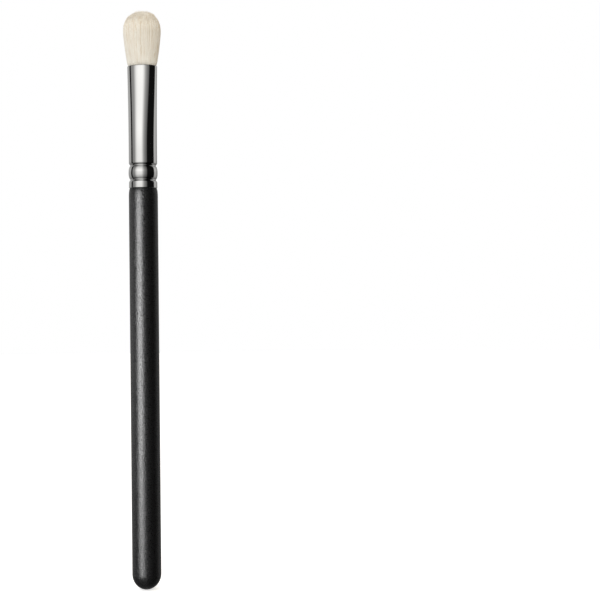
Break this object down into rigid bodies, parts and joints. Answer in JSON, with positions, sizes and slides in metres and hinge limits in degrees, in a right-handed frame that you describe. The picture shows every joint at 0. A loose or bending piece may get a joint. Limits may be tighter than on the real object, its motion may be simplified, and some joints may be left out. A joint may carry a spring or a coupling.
{
  "type": "eyeshadow brush",
  "caption": "Eyeshadow blending brush: a domed oval tuft of fine pale hair in a crimped metal ferrule on a straight black lacquered handle with a rounded butt.",
  "frame": {"origin": "lowest point of the handle's rounded butt, on the brush's axis", "axes": "+Z along the brush from the butt to the tip of the hair, X along the wide way of the oval tuft, Y through its depth"},
  "size_m": [0.0104, 0.0082, 0.157],
  "materials": {
    "handle_lacquer": "satin black lacquer on birch",
    "ferrule_nickel": "bright nickel plate on drawn brass",
    "glue": "cured adhesive",
    "epoxy": "cast epoxy",
    "thread": "waxed thread",
    "hair": "fine undyed hair"
  },
  "bodies": {
    "root": {"handle": "handle_lacquer", "ferrule": "ferrule_nickel", "tenon_glue": "glue", "root_plug": "epoxy", "tuft_binding": "thread", "bristle_tuft": "hair"}
  },
  "joints": []
}
